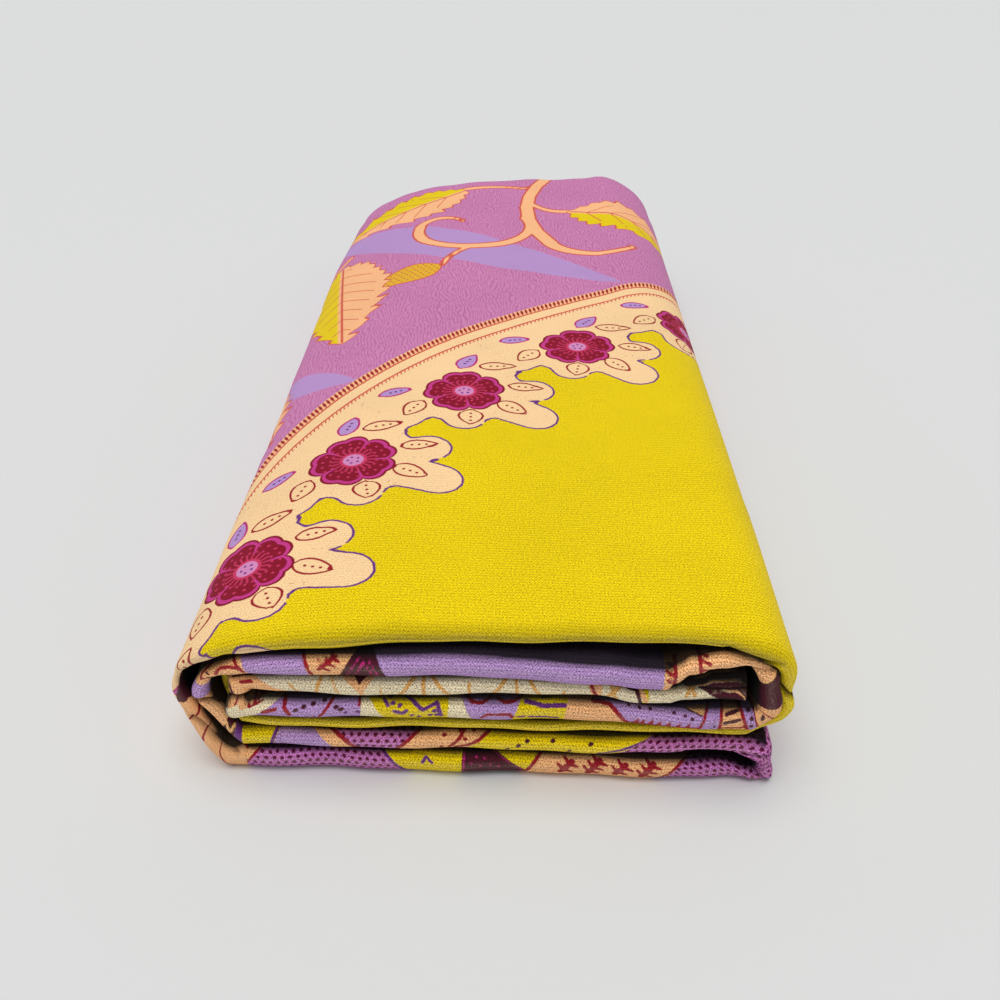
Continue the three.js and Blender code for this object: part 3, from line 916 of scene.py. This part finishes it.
# Small leaves round each flower: ink, how far out the middle is, angle there, way it points, length, width,
# pinch
SMALL_LEAVES = [
    ("cream", 24, 15, -40, 15, 6, 0.2),
    ("cream", 24, -35, -50, 14, 6, 0.2),
    ("cream", 22, -80, -85, 14, 7.5, 0),
    ("cream", 20, -130, -140, 11, 9, 0),
    ("cream", 22, 165, 190, 12, 8, 0),
    ("lilac", 24, 45, 20, 13, 7, 0),
    ("lilac", 26, 130, -30, 13, 5.5, 0),
]
# Lobes of the cream edge, and the bays that the yellow makes in it: from, to, radii at both
LOBES = [
    ((0, 0), (0.1, 0), 23, 23),
    ((8, -8), (20, -18), 8, 8),
    ((0, -8), (5, -32), 10, 9),
    ((-6, -6), (-15, -14), 8, 8),
]
BAYS = [((32, -30), (32, -10), 4.5, 4), ((32, -9), (26, -3), 4, 1)]
LOBE_BLEND = 1.6
# How far out the mauve begins, and the middles of the rope and of the lines that close the border
MAUVE_FROM, ROPE, THIN_LINE, BARBED_LINE = 42, 39.6, 37, 30.4


def border_place(u, v):
    """Distance along the border, with a flower at each whole repeat, and distance out from it."""
    x, y = u - CIRCLE[0], v - CIRCLE[1]
    angle = np.degrees(np.arctan2(y, x)) % 360
    along = np.clip((FIRST_FLOWER - angle) / FLOWER_STEP, 0, FLOWERS - 1) * REPEAT
    return along, np.hypot(x, y) - BORDER_RADIUS


def cream_edge(p, q):
    """The scalloped edge between the cream border and the yellow ground."""
    cream, bay = -4 - q, np.full(p.shape, 1e3)
    for shift in (-REPEAT, 0, REPEAT):
        for a, b, first, last in LOBES:
            lobe = line(p + shift, q, (2 * first, 2 * last), a, b)
            blend = np.clip(0.5 + (cream - lobe) / (2 * LOBE_BLEND), 0, 1)
            cream = between(cream, lobe, blend) - LOBE_BLEND * blend * (1 - blend)
        for a, b, first, last in BAYS:
            bay = np.minimum(bay, line(p + shift, q, (2 * first, 2 * last), a, b))
    return np.maximum(cream, -bay)


def leaf(x, y, start, end, left, right, bow=0.0, pinch=0.0):
    """A pointed leaf, that wide to its rib's left and right: distance to its edge, then place along and
    across the rib."""
    (ax, ay), (bx, by) = start, end
    length = math.hypot(bx - ax, by - ay)
    ux, uy = (bx - ax) / length, (by - ay) / length
    along = (x - (ax + bx) / 2) * ux + (y - (ay + by) / 2) * uy
    across = (y - (ay + by) / 2) * ux - (x - (ax + bx) / 2) * uy
    share = np.clip(2 * along / length, -1, 1)
    across = across - bow * (1 - share**2)
    half = np.where(across > 0, left, right) * (1 - share**2) ** 0.8 * (1 - 0.3 * share)
    half = half * (1 - pinch * np.exp(-(((share - 0.42) / 0.16) ** 2)))
    edge = np.hypot(np.maximum(0, np.abs(across) - half), np.maximum(0, np.abs(along) - length / 2))
    edge = np.where(edge > 0, edge, np.maximum(np.abs(across) - half, np.abs(along) - length / 2))
    return np.stack([edge, along, across], -1)


def nearest_leaf(leaves):
    """Of several leaves, each point's nearest."""
    stack = np.stack(leaves)
    pick = stack[..., 0].argmin(0)
    return np.take_along_axis(stack, pick[None, ..., None], 0)[0]


# The vine: each stem an arc, as widths at its ends, centre, radius, and the angles it starts and ends at
STEMS = [
    ((7, 8), (140, 350), 128, 145, 205),
    ((6, 6.5), (-16, 322), 30, 25, -190),
    ((6.5, 3), (-34, 327), 12, 180, 20),
    ((3.6, 3), (10, 262), 40, 130, 172),
    ((8, 3), (46, 305), 24, 202, 330),
    ((3.4, 5), (40, 372), 29, 200, 258),
    ((3.4, 5), (-10, 350), 40, 60, 110),
    ((3, 4), (-128, 340), 50, 290, 330),
    ((4, 3), (-190, 220), 80, -40, 50),
    ((3, 1.5), (180, 340), 70, 140, 190),
]
# Leaves on it: start, end, width to the left and right of the rib, and its bow
VINE_LEAVES = [
    ((-22, 386), (-96, 350), 22, 22, 4),
    ((34, 343), (104, 320), 22, 20, 3),
    ((-88, 304), (-68, 188), 24, 22, 0),
    ((-98, 172), (-88, 120), 8, 8, 0),
    ((-116, 160), (-130, 104), 8, 8, 0),
    ((118, 250), (100, 330), 18, 16, 0),
    ((-152, 330), (-130, 262), 14, 14, 0),
]
BUDS = [((-30, 268), (-62, 248), 10)]
# Lilac patches among them, of a leaf's shape too
LILAC_LENSES = [
    ((-100, 344), (56, 244), 18, 18),
    ((-104, 168), (-56, 150), 9, 9),
    ((-160, 390), (-96, 350), 14, 14),
]
DARK_PATCH = ((-86, -2), (-108, 2), (-108, -30), (-86, -30))  # at the left wall's front
LOW_LEFT = (-106, 36)  # across and along, where the peach corner low down at the left wall's front ends


def arc(centre, radius, first, last):
    """Points round a stretch of a circle, about every ten degrees."""
    angles = np.radians(np.linspace(first, last, 2 + round(abs(last - first) / 10)))
    return list(zip(centre[0] + radius * np.cos(angles), centre[1] + radius * np.sin(angles)))


def small_leaf(p, q, out, angle, way, long, width, pinch):
    """A leaf of the border, by where its middle lies from its flower's and the way it points."""
    x, y = out * math.cos(math.radians(angle)), out * math.sin(math.radians(angle))
    dx, dy = long / 2 * math.cos(math.radians(way)), long / 2 * math.sin(math.radians(way))
    return leaf(p, q, (x - dx, y - dy), (x + dx, y + dy), width / 2, width / 2, 0, pinch)


def print_cover(u, v):
    """Distances and leaf places for the cover's print, at every point of one side."""
    along, q = border_place(u, v)
    p = (along + REPEAT / 2) % REPEAT - REPEAT / 2
    cream = [small_leaf(p, q, *row) for fill, *row in SMALL_LEAVES if fill == "cream"]
    lilac = [small_leaf(p, q, *row) for fill, *row in SMALL_LEAVES if fill == "lilac"]
    big = [leaf(u, v, *row) for row in VINE_LEAVES]
    areas = [leaf(u, v, *row)[..., 0] for row in LILAC_LENSES]
    stems = [line(u, v, width, *arc(*row)) for width, *row in STEMS]
    buds = [leaf(u, v, a, b, width, width) for a, b, width in BUDS]
    return {
        "border": np.stack([along, q, area(u, v, 1, *DARK_PATCH)], -1),
        "edge": np.clip(cream_edge(p, q), -8, 8),
        "cream_leaf": nearest_leaf(cream),
        "lilac_leaf": nearest_leaf(lilac),
        "vine_leaf": nearest_leaf(big),
        "lilac_area": np.min(areas, axis=0),
        "stem": np.min(stems, axis=0),
        "bud": nearest_leaf(buds),
    }


# ---------------------------------------------------------------- materials
INKS = {  # in sRGB, 0 to 255
    "yellow": (236, 206, 0),
    "cream": (253, 213, 160),
    "white": (244, 228, 190),
    "peach": (250, 186, 128),
    "vine": (254, 190, 138),
    "mauve": (198, 118, 184),
    "ground": (190, 106, 162),
    "ground_light": (209, 136, 182),
    "lilac": (187, 148, 206),
    "bud": (232, 180, 44),
    "maroon": (78, 20, 38),
    "flower": (136, 8, 36),
    "petal": (138, 8, 40),
    "notch": (200, 58, 138),
    "ring": (206, 56, 100),
    "ochre": (231, 172, 92),
    "magenta": (190, 40, 120),
    "red": (158, 24, 38),
    "orange_red": (214, 92, 74),
    "purple": (110, 50, 130),
    "wine": (100, 12, 56),
    "centre": (214, 140, 190),
    "worn": (240, 228, 205),
}
WARP, WEFT = 0.46, 0.6  # thread spacing


def ink(name):
    """An ink's colour as linear light."""
    parts = [value / 255 for value in INKS[name]]
    return (*[p / 12.92 if p <= 0.04045 else ((p + 0.055) / 1.055) ** 2.4 for p in parts], 1)


class Number:
    """A number inside a material. Sums with it add Math nodes to the tree that is being made."""

    tree = None

    def __init__(self, socket):
        self.socket = socket

    def __add__(self, other):
        return maths("ADD", self, other)

    def __sub__(self, other):
        return maths("SUBTRACT", self, other)

    def __rsub__(self, other):
        return maths("SUBTRACT", other, self)

    def __mul__(self, other):
        return maths("MULTIPLY", self, other)

    def __truediv__(self, other):
        return maths("DIVIDE", self, other)

    __radd__ = __add__
    __rmul__ = __mul__


def new_node(kind, **settings):
    """A node in the tree that is being made."""
    node = Number.tree.nodes.new("ShaderNode" + kind)
    for key, value in settings.items():
        setattr(node, key, value)
    return node


def put(socket, value):
    """Gives a socket its value: a link where it comes from a node, or else a plain value."""
    value = value.socket if isinstance(value, Number) else value
    if isinstance(value, bpy.types.NodeSocket):
        Number.tree.links.new(value, socket)
    else:
        socket.default_value = value


def maths(operation, *values, clamp=False):
    node = new_node("Math", operation=operation, use_clamp=clamp)
    for socket, value in zip(node.inputs, values):
        put(socket, value)
    return Number(node.outputs[0])


def least(a, b):
    return maths("MINIMUM", a, b)


def most(a, b):
    return maths("MAXIMUM", a, b)


def size(a):
    return maths("ABSOLUTE", a)


def length(a, b):
    return maths("SQRT", a * a + b * b)


def wrapped(value, period):
    """The value less whole periods, so that it lies within half a period of nought."""
    return maths("WRAP", value, period / 2, -period / 2)


def within(distance, edge=0.3):
    """1 where the distance is below zero and 0 where it is above, over a soft edge."""
    return maths("MULTIPLY_ADD", distance, -1 / edge, 0.5, clamp=True)


def lay(colour, over, amount):
    """A colour laid over what is there, as far as amount, 0 to 1, says."""
    node = new_node("Mix", data_type="RGBA")
    put(node.inputs[0], amount)
    put(node.inputs[6], colour)
    put(node.inputs[7], over)
    return node.outputs[2]


def paint(colour, name, distance, edge=0.3):
    """The named ink laid over a colour, wherever the distance is below zero."""
    return lay(colour, ink(name), within(distance, edge))


def stored(name):
    """A vertex value kept in the mesh."""
    node = new_node("Attribute", attribute_name=name)
    return Number(node.outputs["Fac"])


def split(socket):
    node = new_node("SeparateXYZ")
    put(node.inputs[0], socket)
    return [Number(out) for out in node.outputs]


def stored_vector(name):
    node = new_node("Attribute", attribute_name=name)
    return split(node.outputs["Vector"])


def cloth_place():
    """Place on the unrolled cloth, in millimetres across and along it."""
    node = new_node("UVMap", uv_map="cloth")
    return split(node.outputs["UV"])[:2]


def noise(u, v, across, along, detail=2.0):
    """Noise of that grain in millimetres, from 0 to 1."""
    join = new_node("CombineXYZ")
    put(join.inputs[0], u / across)
    put(join.inputs[1], v / along)
    node = new_node("TexNoise", noise_dimensions="2D")
    node.inputs["Scale"].default_value = 1
    node.inputs["Detail"].default_value = detail
    put(node.inputs["Vector"], join.outputs[0])
    return Number(node.outputs["Fac"])


def woven(material, u, v, colour, contrast):
    """The cotton under the print: threads, slubs, patchy dye, pale worn folds, a low sheen, and painted
    shade between the layers.
    """
    warp = maths("SINE", u * (math.pi / WARP))
    weft = maths("SINE", v * (math.pi / WEFT))
    threads = weft * (warp * 0.7 + 0.4)
    grain = noise(u, v, 0.5, 0.42, 1)
    slub = noise(u, v, 7, 0.6, 2)
    dye = noise(u, v, 40, 30, 3) * 0.14 + 0.43
    worn = within(size(stored("fold")) - 1.1, 2.2) * noise(u, v, 5, 2, 3)
    colour = lay(colour, ink("worn"), worn * 0.16)
    tone = 0.5 + (threads * 0.32 + (grain - 0.5) * 1.9 + (slub - 0.5) * 0.28) * contrast + dye
    # Painted shade: the tone is darkened, nearly to black, the deeper a point lies between two layers or in
    # a groove, and on the cover's front fold where it turns out of the light
    deep = within(1.3 - stored("gap"), 2.6)
    tone = tone * (1 - deep * 0.97)
    shade = new_node("HueSaturation")
    put(shade.inputs["Value"], tone)
    put(shade.inputs["Color"], colour)
    height = threads * 0.5 + grain * 1.1 + slub * 0.5
    bump = new_node("Bump")
    bump.inputs["Strength"].default_value = 0.5
    bump.inputs["Distance"].default_value = 0.12 * MM
    put(bump.inputs["Height"], height)
    shader = material.node_tree.nodes["Principled BSDF"]
    put(shader.inputs["Base Color"], shade.outputs[0])
    put(shader.inputs["Roughness"], 0.74 + grain * 0.14 + worn * 0.1)
    put(shader.inputs["Normal"], bump.outputs[0])
    shader.inputs["Sheen Weight"].default_value = 0.04
    shader.inputs["Sheen Roughness"].default_value = 0.45
    shader.inputs["Specular IOR Level"].default_value = 0.16


def new_material(name):
    material = bpy.data.materials.new(name)
    material.use_nodes = True
    Number.tree = material.node_tree
    return material


def dotted_ground(u, v):
    """Distance to the nearest dot of the small staggered dots."""
    u = u + (noise(u, v, 3, 3, 1) - 0.5) * 0.9
    v = v + (noise(u + 50, v, 3, 3, 1) - 0.5) * 0.9
    a = length(wrapped(u, 2.4), wrapped(v, 3.8))
    b = length(wrapped(u - 1.2, 2.4), wrapped(v - 1.9, 3.8))
    return least(a, b) - 0.64


def band_cotton():
    """Cotton for the stretches whose folded edges show: each ink is laid up to its edge."""
    material = new_material("band_cotton")
    u, v = cloth_place()
    wobble = (noise(u, v, 1.6, 1.6, 2) - 0.5) * 0.5
    colour = ink("yellow")
    for name in BAND_INKS:
        distance = stored(name) + wobble
        colour = paint(colour, name, distance, 0.35)
        if name == "mauve":
            dots_here = least(within(distance, 0.35), within(dotted_ground(u, v), 0.3))
            colour = lay(colour, ink("wine"), dots_here)
    woven(material, u, v, colour, 1.08)
    return material


def flower(colour, p, q):
    """A flower of five lobed petals at each repeat's middle."""
    away = length(p, q)
    angle = maths("ARCTAN2", q, p) + 0.35
    petal = size(maths("COSINE", angle * 2.5))
    lobe = size(maths("SINE", angle * 5))
    rim = away - 12.7 - maths("POWER", petal, 0.5) * 2.2 - lobe * 1.2
    colour = paint(colour, "flower", rim)
    colour = paint(colour, "notch", size(rim + 1.7) - 0.75)
    colour = paint(colour, "petal", rim + 2.6)
    notch = most(petal * away / 2.5 - (away - 5) * 0.1, 7 - away)
    colour = lay(colour, ink("notch"), least(within(notch), within(rim + 1)))
    beads = length(wrapped(angle + 0.1, 2 * math.pi / 20) * away, wrapped(away, 2.7)) - 0.5
    beads = most(beads, most(6.5 - away, rim + 3.2))
    colour = paint(colour, "ring", beads, 0.5)
    rays = most(size(wrapped(angle, 2 * math.pi / 20)) * away - 0.3, size(away - 6.2) - 1.4)
    colour = paint(colour, "ring", rays, 0.5)
    colour = paint(colour, "ring", away - 4.7)
    colour = paint(colour, "centre", away - 3.6)
    eyes = length(wrapped(angle, 2 * math.pi / 5) * away, away - 1.9) - 0.5
    return paint(colour, "purple", eyes)


def small_leaves(colour, name, fill, rim, spots, spacing):
    """Small outlined leaves with a row of dots down the middle."""
    edge, along, across = stored_vector(name)
    colour = paint(colour, fill, edge)
    dot = most(length(wrapped(along, spacing), across) - 0.55, size(along) - 1.5 * spacing)
    colour = paint(colour, spots, dot)
    return paint(colour, rim, size(edge) - 0.45)


def vine_leaves(colour, name, teeth):
    """Toothed leaves, half peach and half yellow, with a rib and slanting veins."""
    edge, along, across = stored_vector(name)
    tooth = size(wrapped(along + size(across) * 0.6, teeth)) * 0.9
    edge = edge + tooth - 1 + (noise(along, across, 9, 9, 1) - 0.5) * 5
    colour = paint(colour, "vine", edge, 0.6)
    colour = lay(colour, ink("yellow"), least(within(edge, 0.6), within(across + 2, 0.8)))
    vein = size(wrapped(along - size(across) * 0.9, 13)) - 0.45
    vein = most(vein, edge + 3.5 + noise(along, across, 6, 6, 1) * 6)
    colour = paint(colour, "orange_red", vein, 0.6)
    rib = most(size(across) - 0.6, edge + 2)
    colour = paint(colour, "orange_red", rib, 0.6)
    return paint(colour, "orange_red", size(edge) - 0.6, 0.5)


def hatched_ground(u, v):
    """The mauve ground, with fine wavy hatching."""
    waves = noise(u, v, 9, 14, 1)
    hatch = size(wrapped(u + v * 0.12 + waves * 7, 1.5)) + 0.3 - noise(u, v, 0.9, 3.4, 1) * 1.1
    return paint(ink("ground_light"), "ground", hatch, 0.7)


def vine(colour, wobble, beyond):
    """The vine, with its lilac patches, its bud, its stems and its leaves."""
    lilac = within(stored("lilac_area") + wobble, 0.6)
    colour = lay(colour, ink("lilac"), least(lilac, beyond))
    stem = stored("stem") + wobble
    bud, bud_along, bud_across = stored_vector("bud")
    colour = paint(colour, "bud", bud, 0.6)
    specks = length(wrapped(bud_along, 3), wrapped(bud_across, 3)) - 0.6
    colour = lay(colour, ink("orange_red"), least(within(specks), within(bud + 1)))
    colour = paint(colour, "orange_red", size(bud) - 0.5, 0.5)
    colour = lay(colour, ink("vine"), least(within(stem, 0.5), beyond))
    colour = lay(colour, ink("orange_red"), least(within(size(stem) - 0.55, 0.5), beyond))
    return vine_leaves(colour, "vine_leaf", 9)


def border_lines(colour, along, q):
    """The rope and the thin lines that close the border, the inmost one barbed."""
    rope = size(q - ROPE) - 2.3
    dashes = size(wrapped(along - q * 0.4, REPEAT / 31))
    twist = paint(ink("vine"), "red", dashes + size(q - (ROPE + 0.3)) * 0.2 - 0.66, 0.4)
    colour = lay(colour, twist, within(rope))
    colour = paint(colour, "orange_red", size(q - THIN_LINE) - 0.5)
    barbs = most(size(wrapped(along - q * 0.7, REPEAT / 32)) - 0.3, size(q - (BARBED_LINE - 1)) - 1)
    thin = least(size(q - BARBED_LINE) - 0.5, barbs)
    return paint(colour, "orange_red", thin)


def left_corner(colour, u, v, patch, wobble):
    """The dark patch at the left wall's front, and the striped peach corner low down there."""
    colour = paint(colour, "maroon", patch)
    low = most(u + wobble * 3 - LOW_LEFT[0], v - LOW_LEFT[1])
    colour = paint(colour, "peach", low)
    strokes = size(wrapped(u + v * 0.55 + noise(u, v, 9, 9, 1) * 6, 12)) - 0.55
    return lay(colour, ink("red"), least(within(low), within(strokes)))


def cover_cotton():
    """Cotton for the cover: yellow inside the circle, the cream border, then mauve with the vine."""
    material = new_material("cover_cotton")
    u, v = cloth_place()
    along, q, patch = stored_vector("border")
    p = wrapped(along, REPEAT)
    wobble = (noise(u, v, 2, 2, 2) - 0.5) * 0.5
    q = q + wobble
    edge = stored("edge") + wobble
    colour = paint(ink("yellow"), "cream", edge)
    drawn = most(size(edge) - 0.42, 0.9 - size(wrapped(p - 17, REPEAT / 2)))
    colour = paint(colour, "purple", drawn)
    ground = hatched_ground(u, v)
    beyond = within(MAUVE_FROM - q)
    colour = lay(colour, ground, beyond)
    colour = vine(colour, wobble, beyond)
    colour = border_lines(colour, along, q)
    colour = small_leaves(colour, "cream_leaf", "cream", "red", "red", 2.6)
    colour = small_leaves(colour, "lilac_leaf", "lilac", "magenta", "purple", 2)
    colour = flower(colour, p, q)
    colour = left_corner(colour, u, v, patch, wobble)
    woven(material, u, v, colour, 0.78 - most(within(edge), beyond) * 0.38)
    return material


def floor_paint():
    material = new_material("floor_paint")
    shader = material.node_tree.nodes["Principled BSDF"]
    shader.inputs["Base Color"].default_value = (0.74, 0.75, 0.745, 1)
    shader.inputs["Roughness"].default_value = 0.9
    return material


# ---------------------------------------------------------------- the five stretches
# Each stretch's width as it lies flat, in metres, and the run that its print is placed on
CUTS = {
    "cover": (0.261, "top"),
    "bottom_wrap": (0.315, "bottom"),
    "inner_wrap": (0.235, "sixth"),
    "core_fold": (0.3, "fourth"),
    "tucked_end": (0.165, "third"),
}


def side_values(name, side, grid, u, curls, columns, path, nose_rings):
    """What the material needs to know at each point of one side."""
    front, far = along_cloth(grid, 1 if side == "outer" else -1, nose_rings)
    nearer_front = np.abs(front) < np.abs(far)
    fold = np.where(nearer_front, front, far)
    groove = groove_depth(name, grid[..., 0], grid[..., 2])
    groove = groove * (nearer_front & (np.abs(fold) < GROOVE_SHADE_REACH))
    # Painted shade: the depth between the layers, with the grooves' depth added near the fold's tip
    gap = painted_shade_depth(name, side, columns, fold) + groove * 0.8
    front_curl, far_curl = curls
    v = np.where(nearer_front, front - front_curl, LENGTH - far + far_curl)
    values = {
        "cloth": np.stack([u, v], -1),
        "fold": np.clip(fold, -20, 20),
        "gap": np.minimum(gap, DEEPEST_PAINTED_SHADE),
    }
    if name == "cover":
        values.update(print_cover(u, v))
    else:
        values.update(print_bands(name, columns, path, front, far))
    return values


def build_stretch(name, main_run, material):
    """One stretch of the strip, with its print and its material on it."""
    layered = STRETCHES[name][-1][-1] is not None
    step, nose_rings, body = COVER_FINISH if name == "cover" else FINE_FINISH
    outer, inner, columns, path = build_grids(name, step, nose_rings, body)
    u = across_cloth(outer, columns, main_run, nose_rings)
    front, far = along_cloth(outer, 1, nose_rings)
    curls = (  # how much longer the cloth's way round each fold is than the straight way
        front[nose_rings] - outer[nose_rings, :, 1] - LENGTH / 2,
        far[-1 - nose_rings] + outer[-1 - nose_rings, :, 1] - LENGTH / 2,
    )
    values, inner_values = (
        side_values(name, side, grid, u, curls, columns, path, nose_rings)
        for side, grid in (("outer", outer), ("inner", inner))
    )
    for key, value in values.items():
        ridges = end_rows(value, inner_values[key]) if layered else None
        values[key] = gather(value, inner_values[key], ridges)
    thing = closed_mesh(name + "_cloth", outer, inner, layered)
    keep_values(thing, values)
    thing.data.materials.append(material)
    return thing


cover_material, band_material = cover_cotton(), band_cotton()
for name, (flat_width, main_run) in CUTS.items():
    thing = build_stretch(name, main_run, cover_material if name == "cover" else band_material)
    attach(thing, "root")
    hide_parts(name)


# ---------------------------------------------------------------- floor, light, camera
SUN_STRENGTH, WORLD_STRENGTH = 1.96, 0.36
SUN_TILT = (8, -4, 0)  # degrees off straight down
SUN_WIDTH = 50  # degrees, for soft shadows
CAMERA_PLACE = (4.11, -403.07, 241.89)
YAW, PITCH, ROLL = 0.00494, 0.60545, 0.02562  # radians: to the left, down, and round the line of sight

floor_mesh = bpy.data.meshes.new("floor")
floor_mesh.from_pydata([(-6, -3, 0), (6, -3, 0), (6, 12, 0), (-6, 12, 0)], [], [(0, 1, 2, 3)])
floor = bpy.data.objects.new("floor", floor_mesh)
floor.location.z = -0.2 * MM  # just clear of the packet's underside
bpy.context.scene.collection.objects.link(floor)
floor.data.materials.append(floor_paint())

world = bpy.data.worlds.new("studio")
bpy.context.scene.world = world
world.use_nodes = True
world.node_tree.nodes["Background"].inputs["Color"].default_value = (1, 1, 1, 1)
world.node_tree.nodes["Background"].inputs["Strength"].default_value = WORLD_STRENGTH
sun = bpy.data.lights.new("softbox", "SUN")
sun.energy = SUN_STRENGTH
sun.angle = math.radians(SUN_WIDTH)
sun_thing = bpy.data.objects.new("softbox", sun)
sun_thing.rotation_euler = [math.radians(degrees) for degrees in SUN_TILT]
bpy.context.scene.collection.objects.link(sun_thing)

camera_data = bpy.data.cameras.new("camera")
camera_data.lens = 36
camera_data.sensor_width = 36
camera_data.clip_start = 0.01
camera = bpy.data.objects.new("camera", camera_data)
camera.location = [place * MM for place in CAMERA_PLACE]
forward = Vector((-math.sin(YAW) * math.cos(PITCH), math.cos(YAW) * math.cos(PITCH), -math.sin(PITCH)))
right = Vector((math.cos(YAW), math.sin(YAW), 0))
up = right.cross(forward)
axis_x = right * math.cos(ROLL) + up * math.sin(ROLL)
axis_y = up * math.cos(ROLL) - right * math.sin(ROLL)
camera.rotation_euler = Matrix((axis_x, axis_y, -forward)).transposed().to_euler()
bpy.context.scene.collection.objects.link(camera)
bpy.context.scene.camera = camera
bpy.context.scene.view_settings.view_transform = "Standard"
